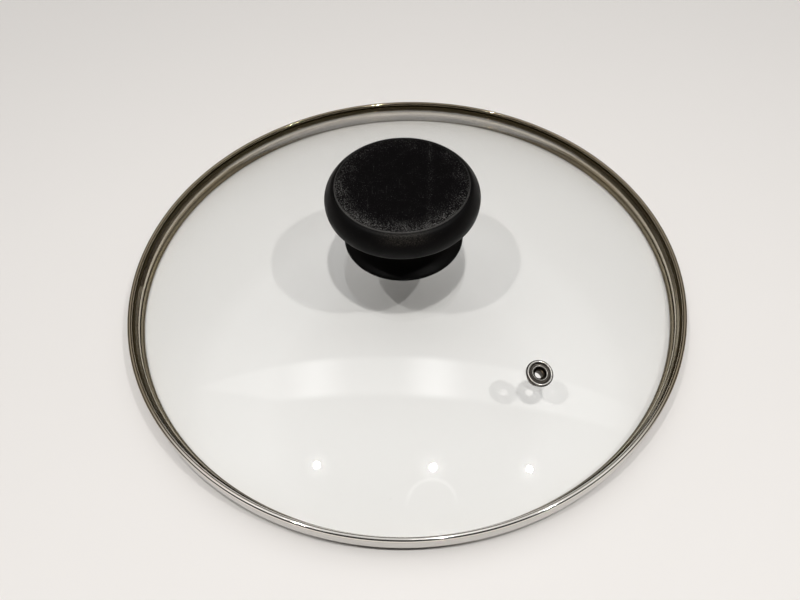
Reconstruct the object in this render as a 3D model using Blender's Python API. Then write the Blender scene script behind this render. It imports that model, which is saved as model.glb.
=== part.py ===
"""Domed glass lid for a 24 cm pan: tempered glass panel in a roll-formed steel rim, with a
steam vent eyelet and a two-piece black plastic knob held by one screw from inside.

Z is up, the lid stands on the foot of its rim at z = 0, and the knob's screw is the Z axis.
Profiles are lists of (radius, height) in millimetres, turned about Z.
"""
import math

import bmesh
import bpy
from mathutils import Matrix, Vector

MM = 0.001

# Glass panel
GLASS_THICKNESS = 4.0
GLASS_APEX = 36.0           # height of the outer surface on the axis
DOME_RADIUS = 295.6         # sphere of the outer surface
GLASS_RADIUS = 122.6        # upper edge of the glass, inside the rim
SCREW_HOLE_RADIUS = 5.0
VENT_HOLE_RADIUS = 3.2

# Steel rim
RIM_RADIUS = 124.0
BEAD_RADIUS = 1.0           # half the width of the bead that folds over the glass
BEAD_HEIGHT = 10.85         # height of the bead's centre
NOSE_BOTTOM = 9.95          # where the bead ends, just above the glass
LEDGE_BOTTOM = 4.9          # underside that rests on the pan
LEG_RADIUS = 119.9          # outside of the leg that locates in the pan
HEM_RADIUS = 0.85           # rolled hem at the leg's foot
SHEET = 0.45

# Vent, in its own frame: its axis is the dome's normal, height 0 is the outer glass surface
VENT_AT = Vector((50.45, -64.75))
VENT_BORE = 1.5             # the neck that the steam passes
VENT_TUBE = 2.7             # outside of the tube through the glass

# Knob
KNOB_RADIUS = 31.6
KNOB_TOP = 66.1
CAP_BOTTOM = 54.1
FOOT_BOTTOM = 35.4
FOOT_RADIUS = 25.3
WAIST_RADIUS = 16.9
DISC_RADIUS = 27.2
INSERT_RADIUS = 4.6
THREAD_RADIUS = 2.45
THREAD_DEPTH = 0.35
THREAD_PITCH = 0.8

GAP = 0.3                   # between touching pieces
INNER_APEX = GLASS_APEX - GLASS_THICKNESS
RIM_SEGMENTS = 72
KNOB_SEGMENTS = 48
SMALL_SEGMENTS = 32
SMOOTH_ANGLE = math.radians(32)


def clear_scene():
    for obj in list(bpy.data.objects):
        bpy.data.objects.remove(obj, do_unlink=True)


def material(name, colour, metallic, roughness, transmission=0.0):
    made = bpy.data.materials.new(name)
    made.use_nodes = True
    made.diffuse_color = (*colour, 1.0)
    shader = made.node_tree.nodes["Principled BSDF"]
    shader.inputs["Base Color"].default_value = (*colour, 1.0)
    shader.inputs["Metallic"].default_value = metallic
    shader.inputs["Roughness"].default_value = roughness
    shader.inputs["Transmission Weight"].default_value = transmission
    return made


def turned(name, profile, segments, look, knurl=None):
    """A closed (radius, height) profile turned about Z. Points at radius 0 close the ends.
    knurl is (lowest, highest, depth): every other point there moves in by depth."""
    mesh = bmesh.new()
    rings = []
    for radius, height in profile:
        if radius == 0:
            rings.append([mesh.verts.new((0, 0, height * MM))] * segments)
            continue
        ring = []
        for step in range(segments):
            angle = 2 * math.pi * step / segments
            reach = radius
            if knurl and knurl[0] <= height <= knurl[1] and step % 2:
                reach -= knurl[2]
            point = (reach * math.cos(angle), reach * math.sin(angle), height)
            ring.append(mesh.verts.new([value * MM for value in point]))
        rings.append(ring)
    for low, high in zip(rings, rings[1:] + rings[:1]):
        for step in range(segments):
            after = (step + 1) % segments
            corners = [low[step], low[after], high[after], high[step]]
            corners = list(dict.fromkeys(corners))
            if len(corners) > 2:
                mesh.faces.new(corners)
    return finished(name, mesh, look)


def finished(name, mesh, look):
    """Turns a bmesh into a named object with outward normals and smooth shading."""
    bmesh.ops.recalc_face_normals(mesh, faces=mesh.faces)
    data = bpy.data.meshes.new(name)
    mesh.to_mesh(data)
    mesh.free()
    data.shade_smooth()
    data.set_sharp_from_angle(angle=SMOOTH_ANGLE)
    data.materials.append(look)
    made = bpy.data.objects.new(name, data)
    bpy.context.collection.objects.link(made)
    return made


def cut(target, cutter):
    """Subtracts a hidden cutter from the target."""
    cutter.hide_render = True
    cutter.display_type = "WIRE"
    tool = target.modifiers.new(cutter.name, "BOOLEAN")
    tool.object = cutter
    tool.operation = "DIFFERENCE"
    tool.solver = "EXACT"


def sphere_height(radius, sphere_radius):
    """Height of a sphere about the dome's centre, at this distance from the Z axis."""
    centre = GLASS_APEX - DOME_RADIUS
    return centre + math.sqrt(sphere_radius ** 2 - radius ** 2)


def spread(first, last, count):
    return [first + (last - first) * step / (count - 1) for step in range(count)]


def arc(centre, radius, first, last, count):
    """Points of a circle from the first to the last angle, in degrees."""
    points = []
    for angle in spread(math.radians(first), math.radians(last), count):
        points.append((centre[0] + radius * math.cos(angle), centre[1] + radius * math.sin(angle)))
    return points


def vent_frame():
    """Places a piece on the dome at the vent, with its Z along the dome's normal."""
    height = sphere_height(VENT_AT.length, DOME_RADIUS)
    point = Vector((VENT_AT.x, VENT_AT.y, height))
    normal = (point - Vector((0, 0, GLASS_APEX - DOME_RADIUS))).normalized()
    turn = Vector((0, 0, 1)).rotation_difference(normal).to_matrix().to_4x4()
    return Matrix.Translation(point * MM) @ turn


def glass_dome(look):
    """Domed panel of even thickness with a ground edge, a screw hole and a vent hole."""
    inner_sphere = DOME_RADIUS - GLASS_THICKNESS
    slope = math.asin(GLASS_RADIUS / DOME_RADIUS)
    half = GLASS_THICKNESS / 2
    middle = DOME_RADIUS - half
    centre = (middle * math.sin(slope), GLASS_APEX - DOME_RADIUS + middle * math.cos(slope))
    outer = [(r, sphere_height(r, DOME_RADIUS)) for r in spread(SCREW_HOLE_RADIUS, 121.6, 9)]
    inner_edge = 120.0
    inner = [(r, sphere_height(r, inner_sphere)) for r in spread(inner_edge, SCREW_HOLE_RADIUS, 9)]
    tilt = math.degrees(slope)
    upper = arc(turned_point(centre, half - 0.6, tilt), 0.6, 90 - tilt, -tilt, 3)
    lower = arc(turned_point(centre, 0.6 - half, tilt), 0.6, -tilt, -90 - tilt, 3)
    dome = turned("glass_dome", outer + upper + lower + inner, RIM_SEGMENTS, look)
    reach = GLASS_THICKNESS + 4
    hole = [(0, -reach), (VENT_HOLE_RADIUS, -reach), (VENT_HOLE_RADIUS, reach), (0, reach)]
    cutter = turned("vent_hole_cutter", hole, 32, look)
    cutter.matrix_world = vent_frame()
    cut(dome, cutter)


def turned_point(centre, up, tilt):
    """The point at this distance from the centre along the dome's normal at the glass edge."""
    angle = math.radians(90 - tilt)
    return centre[0] + up * math.cos(angle), centre[1] + up * math.sin(angle)


def rim_band(look):
    """Roll-formed channel: a bead folded over the glass, an outer wall, the ledge that rests on
    the pan, and a leg that ends in a rolled hem."""
    bead = (RIM_RADIUS - BEAD_RADIUS, BEAD_HEIGHT)
    hem = LEG_RADIUS - HEM_RADIUS
    leg_inner = LEG_RADIUS - SHEET
    ledge_top = LEDGE_BOTTOM + SHEET
    wall = RIM_RADIUS - SHEET
    nose = bead[0] - BEAD_RADIUS
    profile = (
        arc(bead, BEAD_RADIUS, 180, 0, 7)
        + arc((RIM_RADIUS - 0.9, LEDGE_BOTTOM + 0.9), 0.9, 0, -90, 4)
        + arc((LEG_RADIUS + 0.4, LEDGE_BOTTOM - 0.4), 0.4, 90, 180, 3)
        + arc((hem, HEM_RADIUS), HEM_RADIUS, 0, -45, 3)
        + [(hem + 0.35, 0.0), (hem - 0.35, 0.0)]
        + arc((hem, HEM_RADIUS), HEM_RADIUS, -135, -270, 5)
        + [(leg_inner, 2 * HEM_RADIUS + 0.1)]
        + arc((leg_inner + 0.9, ledge_top - 0.9), 0.9, 180, 90, 4)
        + arc((wall - 0.5, ledge_top + 0.5), 0.5, -90, 0, 3)
        + arc(bead, BEAD_RADIUS - SHEET, 0, 180, 5)
        + [(nose + SHEET, NOSE_BOTTOM), (nose, NOSE_BOTTOM)]
    )
    turned("rim_band", profile, RIM_SEGMENTS, look)


def vent_pieces(look):
    """Raised ring on the glass, a tube with a rolled lip, a narrow neck and a flared end, and an
    inner washer."""
    under = -GLASS_THICKNESS
    wall = VENT_TUBE - 0.35
    clear = VENT_TUBE + GAP
    ring = [
        (clear, GAP), (5.2, GAP), (5.45, 0.55), (5.45, 0.95), (5.25, 1.3), (4.8, 1.45),
        (4.4, 1.3), (4.15, 0.95), (3.9, 0.8), (clear, 0.8),
    ]
    eyelet = [
        (wall, under - 0.9), (wall, -1.15), (VENT_BORE, -0.75), (VENT_BORE, -0.35), (2.25, -0.05),
        (2.4, 0.8), (2.55, 1.25), (2.85, 1.42), (3.15, 1.34), (3.25, 1.18), (3.1, 1.1),
        (VENT_TUBE, 1.1), (VENT_TUBE, under - 0.95), (3.0, under - 1.2), (3.5, under - 1.25),
        (3.55, under - 1.5), (3.0, under - 1.55),
    ]
    washer = [
        (clear, under - 0.85), (3.85, under - 0.85), (4.0, under - 0.65), (4.0, under - 0.38),
        (clear, under - 0.38),
    ]
    for name, profile in (("vent_ring", ring), ("vent_eyelet", eyelet), ("vent_washer", washer)):
        turned(name, profile, SMALL_SEGMENTS, look).matrix_world = vent_frame()


def knob_cap(look):
    """Bulging grip with a recess for the top disc and a blind hole for the insert."""
    recess = KNOB_TOP - 2.3
    edge = DISC_RADIUS + GAP
    hole = 5.5 + GAP
    profile = [
        (hole, CAP_BOTTOM), (WAIST_RADIUS + 0.4, CAP_BOTTOM), (24.0, CAP_BOTTOM + 0.5),
        (30.3, CAP_BOTTOM + 1.3), (30.95, CAP_BOTTOM + 1.5), (31.2, CAP_BOTTOM + 2.0),
        (31.5, CAP_BOTTOM + 3.2), (KNOB_RADIUS, CAP_BOTTOM + 4.6), (31.4, CAP_BOTTOM + 6.2),
        (30.8, CAP_BOTTOM + 7.9), (29.8, CAP_BOTTOM + 9.7), (28.7, CAP_BOTTOM + 11.1),
        (27.9, KNOB_TOP - 0.3), (edge, KNOB_TOP - 0.4), (edge, recess), (20.3, recess),
        (20.3, recess - 1.1), (17.7, recess - 1.1), (17.7, recess), (hole - 1.5, recess),
        (hole - 1.5, recess - 1.4), (hole, recess - 1.7),
    ]
    turned("knob_cap", profile, KNOB_SEGMENTS, look)


def knob_top_disc(look):
    """Flat inlay whose margin falls away, with a locating rib underneath."""
    bottom = KNOB_TOP - 2.0
    profile = [
        (0, KNOB_TOP + 0.2), (21.5, KNOB_TOP + 0.2), (25.0, KNOB_TOP + 0.1),
        (26.8, KNOB_TOP - 0.1), (DISC_RADIUS, KNOB_TOP - 0.4), (DISC_RADIUS, bottom),
        (20.0, bottom), (20.0, bottom - 1.1), (18.0, bottom - 1.1), (18.0, bottom), (0, bottom),
    ]
    turned("knob_top_disc", profile, KNOB_SEGMENTS, look)


def knob_foot(look):
    """Flared base under the grip, dished beneath so that only its edge nears the glass."""
    bore = INSERT_RADIUS + GAP
    seat = GLASS_APEX + 1.55
    profile = [
        (bore, seat), (10.2, seat), (10.2, FOOT_BOTTOM + 1.4), (22.0, FOOT_BOTTOM + 1.0),
        (23.7, FOOT_BOTTOM), (24.9, FOOT_BOTTOM), (FOOT_RADIUS, FOOT_BOTTOM + 0.4),
        (FOOT_RADIUS, FOOT_BOTTOM + 1.2), (24.2, FOOT_BOTTOM + 2.0), (22.0, FOOT_BOTTOM + 3.5),
        (19.8, FOOT_BOTTOM + 6.0), (18.1, FOOT_BOTTOM + 9.4), (17.2, FOOT_BOTTOM + 13.2),
        (WAIST_RADIUS, CAP_BOTTOM - GAP), (bore, CAP_BOTTOM - GAP),
    ]
    turned("knob_foot", profile, KNOB_SEGMENTS, look)


def knob_insert(look):
    """Threaded brass column, knurled where the grip is moulded round it."""
    head = CAP_BOTTOM + GAP
    foot = GLASS_APEX + 3.6
    profile = [
        (THREAD_RADIUS + GAP, foot), (INSERT_RADIUS - 0.3, foot), (INSERT_RADIUS, foot + 0.3),
        (INSERT_RADIUS, head), (5.5, head + 0.1), (5.5, head + 7.2), (5.1, head + 7.5),
        (0, head + 7.5), (0, head + 2.7), (THREAD_RADIUS + GAP, head + 1.8),
    ]
    turned("knob_insert", profile, SMALL_SEGMENTS, look, knurl=(head + 0.05, head + 7.3, 0.35))


def knob_screw(look):
    """Pan-head machine screw from inside the lid, with a cross recess in its head."""
    head_top = INNER_APEX - 4.6
    head_bottom = head_top - 3.0
    tip = INNER_APEX + 17.4
    root = THREAD_RADIUS - THREAD_DEPTH
    thread = []
    height = head_top + 8.0
    while height < tip - 1.5:
        thread.append((root, height))
        thread.append((THREAD_RADIUS, height + THREAD_PITCH / 2))
        height += THREAD_PITCH
    profile = [
        (0, head_bottom), (3.2, head_bottom + 0.15), (4.3, head_bottom + 0.8),
        (4.7, head_bottom + 1.8), (4.7, head_top - 0.1), (4.55, head_top),
        (THREAD_RADIUS, head_top), (THREAD_RADIUS, head_top + 7.6),
    ]
    profile += thread + [(root, tip - 0.6), (root - 0.5, tip), (0, tip)]
    screw = turned("knob_screw", profile, 16, look)
    for turn in range(2):
        blade = bmesh.new()
        bmesh.ops.create_cube(blade, size=1.0)
        bmesh.ops.scale(blade, verts=blade.verts, vec=Vector((4.6, 1.0, 3.2)) * MM)
        bmesh.ops.rotate(blade, verts=blade.verts, matrix=Matrix.Rotation(turn * math.pi / 2, 3, "Z"))
        bmesh.ops.translate(blade, verts=blade.verts, vec=Vector((0, 0, head_bottom)) * MM)
        cut(screw, finished(f"recess_cutter_{turn}", blade, look))


def knob_washers(look):
    """Split spring washer on the screw's head and a broad flat washer above it."""
    bore = THREAD_RADIUS + GAP
    under = INNER_APEX - 2.7
    flat = [
        (bore, under), (7.9, under), (8.3, under + 0.2), (8.3, under + 0.8), (8.1, under + 1.0),
        (bore, under + 1.0),
    ]
    bottom = INNER_APEX - 4.25
    spring = [(bore, bottom), (4.4, bottom), (4.4, bottom + 1.2), (bore, bottom + 1.2)]
    turned("flat_washer", flat, SMALL_SEGMENTS, look)
    split = turned("spring_washer", spring, SMALL_SEGMENTS, look)
    slot = bmesh.new()
    bmesh.ops.create_cube(slot, size=1.0)
    bmesh.ops.scale(slot, verts=slot.verts, vec=Vector((4.0, 0.6, 4.0)) * MM)
    bmesh.ops.rotate(slot, verts=slot.verts, matrix=Matrix.Rotation(math.radians(25), 3, "X"))
    bmesh.ops.translate(slot, verts=slot.verts, vec=Vector((3.6, 0, bottom + 0.6)) * MM)
    cut(split, finished("split_cutter", slot, look))


def seals(look):
    """Silicone rings above and below the glass; the lower one has a sleeve through the hole."""
    bore = THREAD_RADIUS + GAP
    low = GLASS_APEX + 0.35
    above = [
        (bore, low), (9.3, low), (9.6, low + 0.25), (9.6, low + 0.65), (9.3, low + 0.9),
        (bore, low + 0.9),
    ]
    flange = INNER_APEX - 1.4
    sleeve = GLASS_APEX - 0.1
    below = [
        (bore, flange), (9.5, flange), (9.9, flange + 0.3), (9.7, flange + 0.8),
        (5.4, flange + 1.0), (4.6, flange + 1.3), (4.6, sleeve - 0.2), (4.4, sleeve), (bore, sleeve),
    ]
    turned("seal_above", above, SMALL_SEGMENTS, look)
    turned("seal_below", below, SMALL_SEGMENTS, look)


def main():
    clear_scene()
    steel = material("stainless_steel", (0.60, 0.58, 0.54), 1.0, 0.2)
    plastic = material("black_plastic", (0.012, 0.012, 0.013), 0.0, 0.45)
    zinc = material("zinc_plated_steel", (0.62, 0.63, 0.64), 1.0, 0.3)
    silicone = material("clear_silicone", (0.55, 0.56, 0.55), 0.0, 0.5)
    glass_dome(material("tempered_glass", (0.92, 0.97, 0.95), 0.0, 0.02, 1.0))
    rim_band(steel)
    vent_pieces(material("eyelet_steel", (0.64, 0.63, 0.60), 1.0, 0.15))
    knob_cap(plastic)
    knob_top_disc(material("textured_plastic", (0.018, 0.018, 0.019), 0.0, 0.65))
    knob_foot(material("foot_plastic", (0.010, 0.010, 0.011), 0.0, 0.4))
    knob_insert(material("brass", (0.72, 0.52, 0.24), 1.0, 0.35))
    knob_screw(zinc)
    knob_washers(zinc)
    seals(silicone)


main()
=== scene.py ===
"""Looks for the glass pan lid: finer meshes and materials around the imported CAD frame.

Lengths in profiles and in materials are millimetres; everything else is metres. The lid stands
on its rim at z = 0 and the knob's screw is the Z axis.
"""

import math

import bmesh
import bpy
from mathutils import Matrix, Vector


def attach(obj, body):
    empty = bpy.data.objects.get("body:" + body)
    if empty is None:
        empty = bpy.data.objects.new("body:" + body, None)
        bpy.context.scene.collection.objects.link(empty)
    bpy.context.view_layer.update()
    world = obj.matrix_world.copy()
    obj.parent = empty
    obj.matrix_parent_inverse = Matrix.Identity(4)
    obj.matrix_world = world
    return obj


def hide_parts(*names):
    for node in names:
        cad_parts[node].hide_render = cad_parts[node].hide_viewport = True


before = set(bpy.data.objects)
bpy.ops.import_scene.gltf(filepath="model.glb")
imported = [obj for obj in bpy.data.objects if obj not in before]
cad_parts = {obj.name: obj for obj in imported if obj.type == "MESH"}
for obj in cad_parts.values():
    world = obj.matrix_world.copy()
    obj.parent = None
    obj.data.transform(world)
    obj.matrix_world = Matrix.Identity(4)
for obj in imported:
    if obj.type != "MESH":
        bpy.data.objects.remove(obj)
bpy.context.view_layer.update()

MM = 0.001

# The dome's outer surface is a sphere, and its inner surface another about the same centre.
DOME_RADIUS = 295.6
GLASS_APEX = 36.0
GLASS_THICKNESS = 4.0
DOME_CENTRE = GLASS_APEX - DOME_RADIUS
GLASS_RADIUS = 122.6
DOME_EDGE = 121.2  # radius where the outer sphere gives way to the polished edge
VENT_AT = Vector((50.45, -64.75))
VENT_HOLE = 3.2
SCREW_HOLE = 5.0

CAP_BOTTOM = 54.1
KNOB_TOP = 66.1
FOOT_BOTTOM = 35.4

SMOOTH_ANGLE = math.radians(40)


# ---------------------------------------------------------------- mesh helpers

def rounded(corners, steps=5):
    """Turns (radius, height, fillet) corners of a closed section into points, with each corner
    of a fillet above 0 replaced by a curve."""
    points = []
    count = len(corners)
    for index, (radius, height, fillet) in enumerate(corners):
        here = Vector((radius, height))
        if fillet <= 0:
            points.append(tuple(here))
            continue
        before = Vector(corners[index - 1][:2]) - here
        after = Vector(corners[(index + 1) % count][:2]) - here
        start = here + before.normalized() * min(fillet, before.length * 0.5)
        end = here + after.normalized() * min(fillet, after.length * 0.5)
        for step in range(steps + 1):
            share = step / steps
            first = start.lerp(here, share)
            points.append(tuple(first.lerp(here.lerp(end, share), share)))
    return points


def turned(name, section, segments):
    """A closed section of (radius, height) points turned about Z. Radius 0 closes an end."""
    mesh = bmesh.new()
    rings = []
    for radius, height in section:
        if radius == 0:
            rings.append([mesh.verts.new((0, 0, height * MM))] * segments)
            continue
        ring = []
        for step in range(segments):
            angle = 2 * math.pi * step / segments
            point = Vector((radius * math.cos(angle), radius * math.sin(angle), height))
            ring.append(mesh.verts.new(point * MM))
        rings.append(ring)
    for low, high in zip(rings, rings[1:] + rings[:1]):
        for step in range(segments):
            after = (step + 1) % segments
            corners = [low[step], low[after], high[after], high[step]]
            corners = list(dict.fromkeys(corners))
            if len(corners) > 2:
                mesh.faces.new(corners)
    bmesh.ops.recalc_face_normals(mesh, faces=mesh.faces)
    data = bpy.data.meshes.new(name)
    mesh.to_mesh(data)
    mesh.free()
    data.shade_smooth()
    data.set_sharp_from_angle(angle=SMOOTH_ANGLE)
    made = bpy.data.objects.new(name, data)
    bpy.context.scene.collection.objects.link(made)
    return made


def spread(first, last, count):
    return [first + (last - first) * step / (count - 1) for step in range(count)]


def arc(centre, radius, first, last, count):
    """Points of a circle from the first to the last angle, in degrees."""
    points = []
    for angle in spread(math.radians(first), math.radians(last), count):
        points.append((centre[0] + radius * math.cos(angle), centre[1] + radius * math.sin(angle)))
    return points


def sphere_point(radius, sphere):
    return radius, DOME_CENTRE + math.sqrt(sphere ** 2 - radius ** 2)


def vent_frame():
    """A place on the dome at the vent, with Z along the dome's normal."""
    radius, height = sphere_point(VENT_AT.length, DOME_RADIUS)
    point = Vector((VENT_AT.x, VENT_AT.y, height))
    normal = (point - Vector((0, 0, DOME_CENTRE))).normalized()
    turn = Vector((0, 0, 1)).rotation_difference(normal).to_matrix().to_4x4()
    return Matrix.Translation(point * MM) @ turn


def apply_cut(target, cutter):
    """Cuts the cutter out of the target's mesh for good, and removes the cutter."""
    tool = target.modifiers.new("cut", "BOOLEAN")
    tool.object = cutter
    tool.operation = "DIFFERENCE"
    tool.solver = "EXACT"
    graph = bpy.context.evaluated_depsgraph_get()
    mesh = bpy.data.meshes.new_from_object(target.evaluated_get(graph))
    target.modifiers.clear()
    target.data = mesh
    bpy.data.objects.remove(cutter)


def exact_normals(panel):
    """Gives the dome's spheres and the vent hole their true normals, so that the cut leaves
    no dent in what the glass reflects."""
    data = panel.data
    data.shade_smooth()
    data.set_sharp_from_angle(angle=SMOOTH_ANGLE)
    centre = Vector((0, 0, DOME_CENTRE * MM))
    place = vent_frame().inverted()
    turn = place.to_3x3()
    margin = 0.1
    found = [Vector(corner.vector) for corner in data.corner_normals]
    for face in data.polygons:
        local = place @ face.center
        at_hole = math.hypot(local.x, local.y) / MM < VENT_HOLE + margin
        in_hole = at_hole and abs((turn @ face.normal).z) < 0.5
        along = face.normal.dot((face.center - centre).normalized())
        within = math.hypot(face.center.x, face.center.y) / MM < DOME_EDGE - margin
        on_dome = within and abs(along) > 0.99
        for loop in face.loop_indices:
            point = data.vertices[data.loops[loop].vertex_index].co
            if in_hole:
                spot = place @ point
                away = turn.inverted() @ Vector((-spot.x, -spot.y, 0))
                found[loop] = away.normalized()
            elif on_dome:
                found[loop] = (point - centre).normalized() * math.copysign(1, along)
    data.normals_split_custom_set(found)


# ---------------------------------------------------------------- pieces

def glass_panel():
    """Domed panel of even thickness with a polished round edge, a bore for the screw and a
    hole for the vent."""
    inner_sphere = DOME_RADIUS - GLASS_THICKNESS
    bevel, fillet = 0.6, 1.2
    outer = [sphere_point(r, DOME_RADIUS) for r in spread(SCREW_HOLE + bevel, DOME_EDGE, 46)]
    scale = inner_sphere / DOME_RADIUS
    top = sphere_point(GLASS_RADIUS, DOME_RADIUS)
    low = (top[0] * scale, DOME_CENTRE + (top[1] - DOME_CENTRE) * scale)
    foot = sphere_point(119.4, inner_sphere)
    edge = rounded([(*outer[-1], 0), (*top, fillet), (*low, fillet), (*foot, 0)], 6)
    inner = [sphere_point(r, inner_sphere) for r in spread(119.0, SCREW_HOLE + bevel, 46)]
    bore = [(SCREW_HOLE, GLASS_APEX - GLASS_THICKNESS + 0.5), (SCREW_HOLE, GLASS_APEX - 0.55)]
    panel = turned("glass_panel", outer + edge[1:] + inner + bore, 180)
    half = GLASS_THICKNESS + 4
    cutter = turned("cutter", [(0, -half), (VENT_HOLE, -half), (VENT_HOLE, half), (0, half)], 48)
    cutter.matrix_world = vent_frame()
    apply_cut(panel, cutter)
    exact_normals(panel)
    return panel


def rim_steel():
    """Roll-formed channel: a bead over the glass, an outer wall, a ledge and a hemmed leg."""
    bead = (123.0, 10.85)
    hem = (119.05, 0.85)
    section = (
        arc(bead, 1.0, 180, 0, 13)
        + arc((123.1, 5.8), 0.9, 0, -90, 7)
        + arc((120.3, 4.5), 0.4, 90, 180, 5)
        + arc(hem, 0.85, 0, -60, 5)
        + arc(hem, 0.85, -120, -270, 8)
        + [(119.45, 1.8)]
        + arc((120.35, 4.45), 0.9, 180, 90, 6)
        + arc((123.05, 5.85), 0.5, -90, 0, 5)
        + arc(bead, 0.55, 0, 180, 8)
        + rounded([(122.45, 9.75, 0.12), (122.0, 9.8, 0.12), (122.0, 10.2, 0)], 3)[:-1]
    )
    return turned("rim_steel", section, 288)


def vent_ring():
    """Stamped steel ring with a rolled bead round a sunken seat."""
    section = rounded([
        (3.0, 0.3, 0.1), (5.35, 0.28, 0.2), (5.45, 0.7, 0.3), (5.35, 1.25, 0.45), (4.75, 1.5, 0.35),
        (4.3, 1.3, 0.3), (4.05, 0.85, 0.3), (3.7, 0.75, 0.25), (3.0, 0.8, 0.1),
    ])
    return turned("vent_ring_steel", section, 72)


def vent_eyelet():
    """Steel tube through the glass, with a rolled lip, a narrow neck and a flared end below."""
    under = -GLASS_THICKNESS
    section = rounded([
        (2.35, under - 0.8, 0.4), (2.35, -1.1, 0.3), (1.5, -0.8, 0.15), (1.5, -0.35, 0.15),
        (2.3, -0.1, 0.3), (2.5, 1.0, 0.3), (2.75, 1.42, 0.2), (3.08, 1.42, 0.2),
        (3.2, 1.12, 0.12), (2.7, 1.1, 0.1), (2.7, under - 1.1, 0.3), (3.55, under - 1.2, 0.15),
        (3.55, under - 1.55, 0.15), (2.85, under - 1.6, 0.4),
    ])
    return turned("vent_eyelet_steel", section, 72)


def knob_grip():
    """Bulging grip with a crisp lower edge and a recess for the top disc."""
    low = CAP_BOTTOM
    section = [
        (5.8, low), (17.3, low), (20.5, low + 0.12), (24.0, low + 0.45), (27.5, low + 0.9),
        (29.6, low + 1.22),
    ]
    section += rounded([
        (30.3, low + 1.3, 0), (31.15, low + 1.45, 0.6), (31.45, low + 2.7, 0),
    ], 6)
    section += [
        (31.52, low + 3.3), (31.57, low + 3.9), (31.6, low + 4.6), (31.57, low + 5.3),
        (31.45, low + 6.1), (31.22, low + 6.9), (30.9, low + 7.7), (30.47, low + 8.5),
        (29.95, low + 9.3), (29.35, low + 10.1), (28.75, low + 10.75), (28.2, low + 11.25),
    ]
    section += rounded([
        (27.6, low + 11.58, 0.2), (27.4, low + 11.6, 0.05), (27.4, low + 9.7, 0.2),
        (20.3, low + 9.7, 0.1), (20.3, low + 8.6, 0.1), (17.7, low + 8.6, 0.1),
        (17.7, low + 9.7, 0.1), (5.8, low + 9.7, 0),
    ], 3)
    return turned("knob_grip", section, 128)


def knob_top():
    """Top disc: level in the middle, falling away over a worn margin to a crisp edge."""
    top = KNOB_TOP + 0.2
    under = KNOB_TOP - 2.0
    section = [(0, top)] + [
        (r, top - 0.28 * (max(0.0, r - 20.5) / 6.5) ** 2.2) for r in spread(4, 26.7, 16)
    ]
    section += rounded([(27.15, top - 0.36, 0.22), (27.2, under, 0.2), (20.0, under, 0.1)], 4)
    section += rounded([
        (20.0, under - 1.1, 0.1), (18.0, under - 1.1, 0.1), (18.0, under, 0.1),
    ], 3)
    section += [(0, under)]
    return turned("knob_top", section, 128)


def knob_base():
    """Flared base, dished beneath so that only its edge nears the glass."""
    low = FOOT_BOTTOM
    seat = GLASS_APEX + 1.55
    section = rounded([
        (5.1, seat, 0.1), (10.2, seat, 0.2), (10.2, low + 1.4, 0.2), (22.0, low + 1.0, 0.6),
        (23.7, low, 0.4), (25.3, low, 0.4), (25.3, low + 1.2, 0.5), (24.4, low + 1.85, 0),
    ], 4)
    section += [
        (23.4, low + 2.4), (22.4, low + 3.15), (21.4, low + 4.05), (20.5, low + 5.15),
        (19.65, low + 6.35), (18.95, low + 7.75), (18.4, low + 9.2), (17.95, low + 10.8),
        (17.55, low + 12.5), (17.25, low + 14.3), (17.05, low + 16.0), (16.9, low + 17.6),
        (16.9, CAP_BOTTOM - 0.3), (5.1, CAP_BOTTOM - 0.3),
    ]
    return turned("knob_base", section, 112)


# ---------------------------------------------------------------- node helpers

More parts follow.
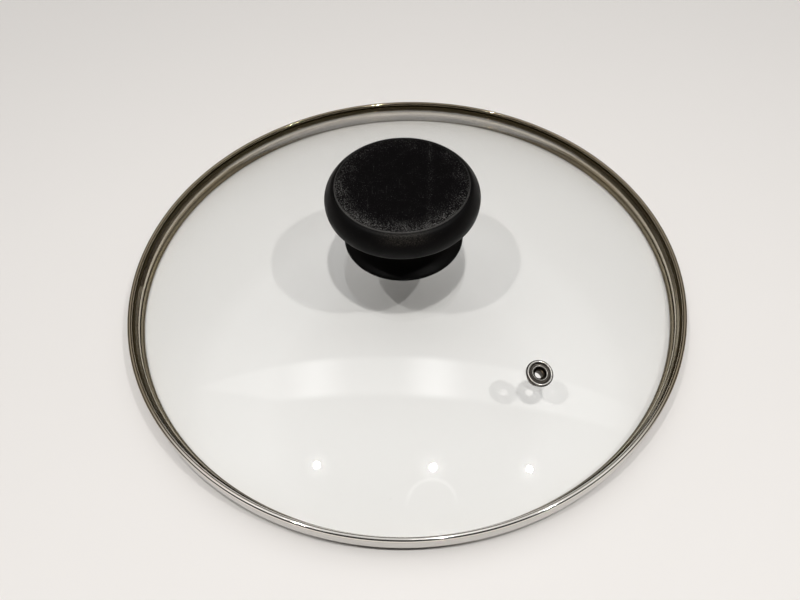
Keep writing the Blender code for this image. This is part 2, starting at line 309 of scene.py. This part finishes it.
class Nodes:
    """Short calls for building the nodes of a material or a world."""

    def __init__(self, tree):
        self.tree = tree

    def add(self, kind, inputs=None, **settings):
        node = self.tree.nodes.new(kind)
        for key, value in settings.items():
            setattr(node, key, value)
        for key, value in (inputs or {}).items():
            self.feed(node.inputs[key], value)
        return node

    def feed(self, socket, value):
        if isinstance(value, bpy.types.NodeSocket):
            self.tree.links.new(value, socket)
        else:
            socket.default_value = value

    def math(self, operation, a, b=0.0, c=0.0):
        node = self.add("ShaderNodeMath", operation=operation)
        for socket, value in zip(node.inputs, (a, b, c)):
            self.feed(socket, value)
        return node.outputs[0]

    def product(self, first, *others):
        for value in others:
            first = self.math("MULTIPLY", first, value)
        return first

    def largest(self, first, *others):
        for value in others:
            first = self.math("MAXIMUM", first, value)
        return first

    def reach(self, a, b):
        """The length of the vector (a, b)."""
        squares = self.math("ADD", self.product(a, a), self.product(b, b))
        return self.math("SQRT", squares)

    def grey(self, value):
        parts = {"X": value, "Y": value, "Z": value}
        return self.add("ShaderNodeCombineXYZ", parts).outputs[0]

    def axes(self, vector):
        return self.add("ShaderNodeSeparateXYZ", {"Vector": vector}).outputs

    def place(self, scale=(1, 1, 1), shift=(0, 0, 0)):
        """The point in the piece's own frame, in millimetres, scaled."""
        spot = self.add("ShaderNodeTexCoord").outputs["Object"]
        scale = [value / MM for value in scale]
        mapping = self.add("ShaderNodeMapping", {"Vector": spot, "Scale": scale, "Location": shift})
        return mapping.outputs[0]

    def round_place(self, along, across):
        """The point as (way round, radius, height) in millimetres, scaled by along and across."""
        x, y, z = self.axes(self.place())
        angle = self.math("ARCTAN2", y, x)
        radius = self.reach(x, y)
        joined = self.add("ShaderNodeCombineXYZ", {
            "X": self.math("MULTIPLY", angle, along),
            "Y": self.math("MULTIPLY", radius, across),
            "Z": self.math("MULTIPLY", z, across),
        })
        return joined.outputs[0], radius, z

    def noise(self, vector, scale=1.0, detail=3.0, roughness=0.55):
        node = self.add("ShaderNodeTexNoise", {
            "Vector": vector, "Scale": scale, "Detail": detail, "Roughness": roughness,
        })
        return node.outputs["Fac"]

    def even_noise(self, scale, detail=3.0, roughness=0.55, shift=(0, 0, 0)):
        """Noise of the same scale in every direction, fixed to the piece."""
        return self.noise(self.place((scale, scale, scale), shift), 1.0, detail, roughness)

    def span(self, value, low, high, to_low=0.0, to_high=1.0, smooth=False):
        kind = "SMOOTHSTEP" if smooth else "LINEAR"
        node = self.add("ShaderNodeMapRange", {
            "Value": value, "From Min": low, "From Max": high, "To Min": to_low,
            "To Max": to_high,
        }, interpolation_type=kind)
        return node.outputs[0]

    def band(self, value, start, full, last, end):
        """1 from full to last, falling to 0 at start and at end."""
        return self.product(self.span(value, start, full), self.span(value, last, end, 1.0, 0.0))

    def blend(self, share, a, b, kind="MIX"):
        node = self.add("ShaderNodeMix", {"Factor": share}, data_type="RGBA", blend_type=kind)
        self.feed(node.inputs["A"], (*a, 1) if isinstance(a, tuple) else a)
        self.feed(node.inputs["B"], (*b, 1) if isinstance(b, tuple) else b)
        return node.outputs["Result"]

    def bump(self, height, strength, distance):
        node = self.add("ShaderNodeBump", {
            "Height": height, "Strength": strength, "Distance": distance * MM,
        })
        return node.outputs[0]


class MaterialNodes(Nodes):
    """The nodes of one new material, with its shader and output."""

    def __init__(self, name):
        self.material = bpy.data.materials.new(name)
        self.material.use_nodes = True
        super().__init__(self.material.node_tree)
        self.shader = self.tree.nodes["Principled BSDF"]

    def set(self, **values):
        for key, value in values.items():
            self.feed(self.shader.inputs[key.replace("_", " ")], value)

    def layer(self, share, under, over):
        node = self.add("ShaderNodeMixShader", {0: share, 1: under, 2: over})
        return node.outputs[0]

    def finish(self, shader):
        self.feed(self.tree.nodes["Material Output"].inputs["Surface"], shader)


# ---------------------------------------------------------------- materials

def glass_look():
    """Clear tempered glass: slightly wavy, with dust specks. Painted shade makes it olive-brown
    near the far rim, and it is dark brown along its edge inside the rim and along the near seam."""
    n = MaterialNodes("tempered_glass_look")
    waves = n.even_noise(0.03, 1.0)
    n.set(
        Base_Color=(0.990, 1.0, 1.0, 1), Roughness=0.0, Transmission_Weight=1.0, IOR=1.5,
        Normal=n.bump(waves, 0.02, 0.6),
    )
    path = n.add("ShaderNodeLightPath")
    passing = n.largest(path.outputs["Is Shadow Ray"], path.outputs["Is Diffuse Ray"])
    clear = n.add("ShaderNodeBsdfTransparent", {"Color": (0.994, 1.0, 1.0, 1)}).outputs[0]
    pane = n.layer(passing, n.shader.outputs[0], clear)

    specks = n.even_noise(1.1, 2.0, 0.6)
    patches = n.even_noise(0.035, 2.0, shift=(4.0, 1.0, 2.0))
    level = n.math("ADD", specks, n.span(patches, 0.4, 0.75, -0.06, 0.03))
    dust = n.add("ShaderNodeBsdfDiffuse", {"Color": (0.55, 0.54, 0.5, 1)}).outputs[0]
    dusty = n.layer(n.span(level, 0.775, 0.80, 0.0, 0.55), pane, dust)

    radius = n.round_place(1.0, 1.0)[1]
    y = n.axes(n.place())["Y"]
    # Painted shade: olive-brown darkening over the glass near the far rim; dark brown along the
    # glass edge in the rim and the near seam.
    far_painted_shade = n.product(n.span(radius, 113.5, 120.5, 0.0, 0.45, True), n.span(y, 20.0, 90.0))
    seam = n.product(n.span(radius, 120.9, 121.4, 0.0, 0.92), n.span(y, -85.0, -40.0))
    edge = n.span(radius, 121.8, 122.0, 0.0, 0.92)
    dark_brown_overlay = n.add("ShaderNodeBsdfDiffuse", {"Color": (0.045, 0.034, 0.017, 1)}).outputs[0]
    n.finish(n.layer(n.largest(far_painted_shade, seam, edge), dusty, dark_brown_overlay))
    return n.material


def steel_look():
    """Rolled stainless steel with fine lines round the rim and soft marks, brown, and bright on the
    outer wall. Painted shade darkens the far side, the channel under the bead, the ledge and the
    leg's foot;
    painted highlights lie on the bead's near part and outer edge and round the top of the leg."""
    n = MaterialNodes("rolled_steel_look")
    spot, radius, height = n.round_place(14.0, 1.0)
    y = n.axes(n.place())["Y"]
    tint = n.span(n.noise(spot, 0.16, 2.0), 0.48, 0.75, 0.0, 0.5, True)
    colour = n.blend(tint, (0.28, 0.235, 0.165), (0.33, 0.245, 0.12))
    # Painted shade: the far side of the rim is darker.
    far = n.span(y, 55.0, 105.0, 0.0, 0.85, True)
    colour = n.blend(far, colour, (0.12, 0.095, 0.055))

    inside = n.span(radius, 121.4, 121.7, 1.0, 0.0)
    wander = n.math("MULTIPLY_ADD", n.noise(spot, 0.12, 2.0), 1.6, height)
    # Painted highlight: a bright line round the top of the leg, inside the rim.
    line = n.band(wander, 4.2, 4.6, 5.4, 6.0)
    colour = n.blend(n.product(line, inside, 0.9), colour, (0.62, 0.57, 0.48))
    # Painted shade along the foot of the leg and on the ledge, inside the rim.
    foot = n.product(n.span(wander, 1.3, 2.4, 1.0, 0.0), 0.8)
    inner_painted_shade = n.largest(foot, n.span(wander, 5.6, 6.2))
    colour = n.blend(n.product(inner_painted_shade, inside), colour, (0.045, 0.033, 0.02))
    # Painted shade in the channel under the bead.
    channel = n.product(n.band(radius, 121.5, 121.8, 123.55, 123.7),
                        n.span(height, 10.3, 10.7, 1.0, 0.0))
    colour = n.blend(channel, colour, (0.05, 0.04, 0.028))

    # Painted light: the bead is bright on its near part and dull brown elsewhere, with a painted
    # highlight along its outer edge.
    near = n.span(y, -108.0, -62.0, 1.0, 0.0, True)
    bead = n.blend(near, (0.30, 0.25, 0.18), (0.80, 0.77, 0.72))
    rub_and_painted_highlight = n.product(n.span(radius, 123.6, 123.8), n.span(y, -20.0, 60.0))
    bead = n.blend(rub_and_painted_highlight, bead, (0.70, 0.66, 0.58))
    crest = n.product(n.span(height, 10.6, 10.9), n.span(radius, 121.9, 122.05))
    colour = n.blend(crest, colour, bead)
    outer = n.product(n.span(radius, 123.6, 123.95), n.span(height, 10.3, 10.9, 1.0, 0.0))
    colour = n.blend(outer, colour, (0.60, 0.585, 0.56))

    lines = n.noise(n.round_place(2.5, 9.0)[0], 1.0, 4.0, 0.65)
    marks = n.even_noise(0.12, 4.0, 0.6)
    dull = n.span(marks, 0.45, 0.75, 0.0, 0.06, True)
    grain = n.span(lines, 0.3, 0.75, 0.05, 0.10)
    n.set(
        Base_Color=colour, Metallic=1.0, Roughness=n.math("ADD", grain, dull),
        Normal=n.bump(lines, 0.04, 0.02),
    )
    return n.material


def stamped_steel_look():
    """Stamped steel with turning lines: bright on the bead and the lip, dark down the bore, and
    darkened by painted shade in the seat between them and on the outer wall."""
    n = MaterialNodes("stamped_steel_look")
    spot, radius, height = n.round_place(0.6, 14.0)
    lines = n.noise(spot, 1.0, 3.0, 0.6)
    marks = n.even_noise(0.9, 4.0, 0.6)
    bright = n.blend(n.span(marks, 0.4, 0.7), (0.66, 0.64, 0.61), (0.52, 0.49, 0.45))
    # Dark down the bore; painted shade in the seat and on the outer wall.
    bore = n.product(n.span(radius, 2.45, 2.7, 1.0, 0.0), n.span(height, 0.9, 1.35, 1.0, 0.0))
    seat = n.band(radius, 3.0, 3.15, 4.25, 4.4)
    wall = n.span(radius, 4.87, 4.97)
    darkened = n.largest(bore, n.product(n.largest(seat, wall), 0.93))
    n.set(
        Base_Color=n.blend(darkened, bright, (0.032, 0.025, 0.018)), Metallic=1.0,
        Roughness=n.math("MULTIPLY_ADD", darkened, 0.15, n.span(lines, 0.3, 0.75, 0.07, 0.16)),
        Normal=n.bump(lines, 0.06, 0.02),
    )
    return n.material


def satin_plastic(name, base, low, high, shine):
    """Black phenolic moulding: soft satin with fine pitting, rub marks and stray dust, and a
    speckled painted highlight on the grip's near shoulder."""
    n = MaterialNodes(name)
    pits = n.even_noise(3.2, 3.0, 0.6)
    rub_and_painted_highlight = n.even_noise(0.09, 3.0, 0.6)
    dust = n.span(n.even_noise(2.1, 2.0, shift=(3, 7, 1)), 0.70, 0.78)
    x, y, z = n.axes(n.place())
    # Painted highlight: a speckled pale area on the grip's near shoulder.
    shoulder_painted_highlight = n.product(
        n.span(z, CAP_BOTTOM + 7.0, CAP_BOTTOM + 10.0, 0.0, 1.0, True),
        n.span(n.math("ABSOLUTE", x), 3.0, 13.0, 1.0, 0.0, True),
        n.span(y, -26.0, -24.0, 1.0, 0.0),
    )
    highlight_grain = n.span(n.even_noise(2.6, 3.0, 0.7, (1, 4, 9)), 0.45, 0.62)
    share = n.largest(n.product(dust, 0.3), n.product(shoulder_painted_highlight, highlight_grain, 0.35))
    n.set(
        Base_Color=n.blend(share, base, (0.10, 0.090, 0.075)),
        Roughness=n.span(rub_and_painted_highlight, 0.3, 0.7, low, high), IOR=1.42,
        Specular_IOR_Level=shine, Normal=n.bump(pits, 0.25, 0.08),
    )
    return n.material


def grained_plastic_look():
    """The knob's top: black moulded grain with pale specks of wear along its margin and in a streak
    right of the middle, and fine scratches; painted light strengthens the margin and its near edge."""
    n = MaterialNodes("grained_plastic_look")
    x, y = n.axes(n.place())[:2]
    radius = n.round_place(10.0, 1.0)[1]
    grain = n.even_noise(3.0, 1.0, 0.6)
    fine = n.even_noise(4.2, 2.0, 0.7, (5, 1, 3))
    coarse = n.even_noise(0.22, 3.0, 0.6, (2, 5, 0))
    toward = n.math("MULTIPLY_ADD", x, -0.3, n.math("MULTIPLY", y, -1.0))
    # Painted light: the margin's pale specks grow stronger towards the near side.
    near = n.span(toward, -26.0, 22.0, 0.25, 1.0)
    margin = n.product(n.span(radius, 16.5, 26.4, 0.0, 1.0, True), near)
    off_streak = n.math("ABSOLUTE", n.math("SUBTRACT", n.math("MULTIPLY_ADD", y, -0.06, x), 11.0))
    wear_and_painted_light = n.math("ADD", n.product(margin, 0.16), n.span(coarse, 0.42, 0.7, -0.02, 0.05))
    wear_and_painted_light = n.math("ADD", wear_and_painted_light, n.span(off_streak, 0.3, 1.8, 0.05, 0.0, True))
    specks = n.span(n.math("ADD", grain, wear_and_painted_light), 0.70, 0.76)
    streaks = n.noise(n.place((1.3, 0.10, 1.0), (1, 0, 0)), 1.0, 2.0, 0.5)
    scratches = n.product(n.span(streaks, 0.64, 0.72), n.span(fine, 0.52, 0.64))
    # Painted highlight along the near edge of the disc.
    edge = n.span(radius, 26.5, 27.0, 0.0, 0.55, True)
    pale = n.largest(n.product(specks, 0.8), n.product(scratches, 0.45), n.product(edge, near))
    n.set(
        Base_Color=n.blend(pale, (0.0012, 0.0010, 0.0012), (0.115, 0.112, 0.108)),
        Roughness=n.span(fine, 0.3, 0.7, 0.5, 0.75), IOR=1.42,
        Specular_IOR_Level=0.07, Normal=n.bump(fine, 0.3, 0.1),
    )
    return n.material


def metal_look(name, colour, dull, roughness):
    """Small turned fasteners: tool lines round the axis and dull plating patches."""
    n = MaterialNodes(name)
    lines = n.noise(n.round_place(0.5, 6.0)[0], 1.0, 3.0, 0.6)
    patches = n.even_noise(0.5, 4.0, 0.6)
    n.set(
        Base_Color=n.blend(n.span(patches, 0.35, 0.7), colour, dull), Metallic=1.0,
        Roughness=n.span(lines, 0.3, 0.7, roughness - 0.07, roughness + 0.1),
        Normal=n.bump(lines, 0.15, 0.04),
    )
    return n.material


def silicone_look():
    """Milky silicone: soft, faintly cloudy, with a matte skin."""
    n = MaterialNodes("silicone_look")
    clouds = n.even_noise(0.4, 3.0)
    skin = n.even_noise(5.0, 2.0)
    n.set(
        Base_Color=n.blend(clouds, (0.50, 0.51, 0.50), (0.62, 0.63, 0.61)),
        Roughness=n.span(skin, 0.3, 0.7, 0.38, 0.55), Transmission_Weight=0.25, IOR=1.41,
        Normal=n.bump(skin, 0.08, 0.05),
    )
    return n.material


def table_look():
    """Pale warm laminate with a faint mottle; painted shade makes it a little darker away from the
    lid.
    """
    n = MaterialNodes("table_look")
    mottle = n.even_noise(0.01, 3.0)
    fine = n.even_noise(1.5, 2.0)
    x, y = n.axes(n.place((1, 1, 1), (0, 100, 0)))[:2]
    # Painted shade: darker away from the lid.
    away = n.span(n.reach(x, y), 110.0, 460.0, 0.0, 1.0, True)
    pale = n.blend(mottle, (0.807, 0.784, 0.767), (0.827, 0.804, 0.787))
    n.set(
        Base_Color=n.blend(away, pale, (0.745, 0.724, 0.708)),
        Roughness=n.span(fine, 0.3, 0.7, 0.55, 0.65), IOR=1.4,
        Normal=n.bump(fine, 0.03, 0.02),
    )
    return n.material


# ---------------------------------------------------------------- surroundings

def add_floor():
    half = 8.0  # metres from the middle to an edge
    mesh = bmesh.new()
    bmesh.ops.create_grid(mesh, x_segments=8, y_segments=8, size=half)
    data = bpy.data.meshes.new("table")
    mesh.to_mesh(data)
    mesh.free()
    data.materials.append(table_look())
    floor = bpy.data.objects.new("table", data)
    bpy.context.scene.collection.objects.link(floor)


def aim(obj, target):
    obj.rotation_euler = (Vector(target) - obj.location).to_track_quat("-Z", "Y").to_euler()


def lamp(name, place, power, size=0.04):
    """A round lamp turned to the lid."""
    data = bpy.data.lights.new(name, "AREA")
    data.shape = "DISK"
    data.size = size
    data.energy = power
    data.color = (1.0, 0.985, 0.96)
    made = bpy.data.objects.new(name, data)
    made.location = place
    bpy.context.scene.collection.objects.link(made)
    aim(made, (0, 0, 0.03))
    return made


def add_lights():
    """Three small lamps overhead, one behind each of the knob's three shadows. A twin of each,
    seen only in reflections, sets where its glint falls on the dome. A wide panel at either
    side, not seen in reflections, softens the shadows."""
    for name, place, glint, power in (
        ("left", (-0.503, -0.375, 1.4), (-0.601, -0.426, 1.5), 3.9),
        ("middle", (0.086, -0.400, 1.4), (0.134, -0.473, 1.5), 6.2),
        ("right", (0.682, -0.427, 1.4), (0.784, -0.487, 1.5), 4.5),
    ):
        direct = lamp(f"lamp_{name}", place, power)
        direct.visible_glossy = direct.visible_transmission = False
        lamp(f"glint_{name}", glint, power).visible_diffuse = False
    for name, place in (("left", (-1.4, 0.2, 0.7)), ("right", (1.4, 0.2, 0.7))):
        fill = lamp(f"fill_{name}", place, 1.6, 0.9)
        fill.visible_glossy = fill.visible_transmission = False


def ceiling_strip(n, side, ahead):
    """A soft bright strip across the ceiling that carries three pools of light."""
    along = n.math("MULTIPLY_ADD", side, 0.072, ahead)
    taper = n.product(n.largest(n.math("SUBTRACT", -0.55, side), 0.0), 0.27)
    strip = n.product(n.span(n.math("SUBTRACT", along, taper), 0.015, 0.05, smooth=True),
                      n.span(along, 0.175, 0.205, 1.0, 0.0, True))
    ends = n.product(n.span(side, -1.5, -0.35, smooth=True), n.span(side, 0.45, 1.5, 1.0, 0.0, True))
    level = 0.57
    for centre, half, share in ((-0.375, 0.17, 1.0), (0.10, 0.15, 1.35), (0.56, 0.2, 0.3)):
        reach = n.math("ABSOLUTE", n.math("SUBTRACT", side, centre))
        level = n.math("ADD", level, n.span(reach, 0.0, half, share, 0.0, True))
    return n.product(strip, ends, level)


def lamp_ring(n, side, ahead):
    """A faint arc round the middle lamp."""
    down = n.math("ADD", ahead, 0.40)
    reach = n.reach(n.math("SUBTRACT", side, 0.08), down)
    off_ring = n.math("ABSOLUTE", n.math("SUBTRACT", reach, 0.1))
    return n.product(n.span(off_ring, 0.0, 0.013, 0.6, 0.0, True), n.span(down, -0.03, 0.05))


def add_world():
    """A room that is brown near the horizon and pale overhead, dim behind the camera. Places
    on its ceiling are given as (side, ahead): x and y where a ray has risen by 1."""
    world = bpy.data.worlds.new("room")
    bpy.context.scene.world = world
    world.use_nodes = True
    n = Nodes(world.node_tree)
    x, y, z = n.axes(n.add("ShaderNodeTexCoord").outputs["Generated"])
    rise = n.largest(z, 0.05)
    side = n.math("DIVIDE", x, rise)
    ahead = n.math("DIVIDE", y, rise)

    glow = n.math("ADD", ceiling_strip(n, side, ahead), lamp_ring(n, side, ahead))
    for lamp_side, lamp_ahead in ((-0.382, -0.222), (0.085, -0.252), (0.499, -0.261)):
        reach = n.reach(n.math("SUBTRACT", side, lamp_side), n.math("SUBTRACT", ahead, lamp_ahead))
        glow = n.math("ADD", glow, n.span(reach, 0.01, 0.07, 0.9, 0.0, True))

    ramp = n.add("ShaderNodeValToRGB", {"Fac": z})
    stops = ramp.color_ramp.elements
    stops[0].position, stops[0].color = 0.0, (0.16, 0.135, 0.10, 1)
    stops[1].position, stops[1].color = 0.95, (0.62, 0.62, 0.62, 1)
    for position, colour in (
        (0.25, (0.07, 0.055, 0.035, 1)), (0.5, (0.045, 0.034, 0.022, 1)),
        (0.62, (0.20, 0.19, 0.18, 1)), (0.70, (0.64, 0.64, 0.63, 1)),
        (0.85, (0.92, 0.92, 0.92, 1)), (0.9, (0.68, 0.68, 0.68, 1)),
    ):
        stops.new(position).color = colour
    dim = n.grey(n.span(ahead, -0.55, -0.12, 0.15, 1.0, True))
    room = n.blend(1.0, ramp.outputs[0], dim, "MULTIPLY")
    light = n.blend(1.0, room, n.grey(glow), "ADD")
    n.feed(n.tree.nodes["Background"].inputs[0], light)


def add_camera():
    """Camera in front of the lid, looking down on it at about 52 degrees."""
    data = bpy.data.cameras.new("camera")
    data.sensor_width = 36.0
    data.lens = 33.075
    data.clip_start = 0.01
    made = bpy.data.objects.new("camera", data)
    made.location = (0.0, -0.215626, 0.26673)
    made.rotation_euler = [math.radians(angle) for angle in (37.974, 1.491, -1.188)]
    bpy.context.scene.collection.objects.link(made)
    bpy.context.scene.camera = made


# ---------------------------------------------------------------- assembly

def dress(piece, look):
    piece.data.materials.clear()
    piece.data.materials.append(look)


def add_pieces():
    """Finer pieces that stand for CAD nodes: (piece, node, body, material, slot)."""
    steel, stamped = steel_look(), stamped_steel_look()
    grip = satin_plastic("grip_plastic_look", (0.0033, 0.0031, 0.0032), 0.38, 0.50, 0.11)
    base = satin_plastic("base_plastic_look", (0.0035, 0.0032, 0.0032), 0.42, 0.55, 0.12)
    rows = (
        (glass_panel(), "glass_dome", "lid", glass_look(), "tempered_glass"),
        (rim_steel(), "rim_band", "lid", steel, "stainless_steel"),
        (vent_ring(), "vent_ring", "lid", stamped, "eyelet_steel"),
        (vent_eyelet(), "vent_eyelet", "lid", stamped, "eyelet_steel"),
        (knob_grip(), "knob_cap", "knob", grip, "black_plastic"),
        (knob_top(), "knob_top_disc", "knob", grained_plastic_look(), "textured_plastic"),
        (knob_base(), "knob_foot", "knob", base, "foot_plastic"),
    )
    for piece, node, body, look, slot in rows:
        if node.startswith("vent"):
            piece.matrix_world = vent_frame()
        dress(piece, look)
        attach(piece, body)
        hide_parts(node)


def dress_nodes():
    """Materials for the CAD nodes that stay as they are."""
    zinc = metal_look("zinc_look", (0.62, 0.63, 0.65), (0.45, 0.45, 0.44), 0.30)
    brass = metal_look("brass_look", (0.72, 0.52, 0.24), (0.50, 0.34, 0.16), 0.33)
    silicone = silicone_look()
    looks = {
        "knob_insert": brass, "knob_screw": zinc, "flat_washer": zinc, "spring_washer": zinc,
        "vent_washer": metal_look("washer_look", (0.62, 0.60, 0.57), (0.48, 0.46, 0.42), 0.22),
        "seal_above": silicone, "seal_below": silicone,
    }
    for name, look in looks.items():
        dress(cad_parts[name], look)


def main():
    bpy.context.scene.view_settings.view_transform = "Standard"
    add_camera()
    add_world()
    add_lights()
    add_floor()
    add_pieces()
    dress_nodes()
    bpy.context.view_layer.update()


main()
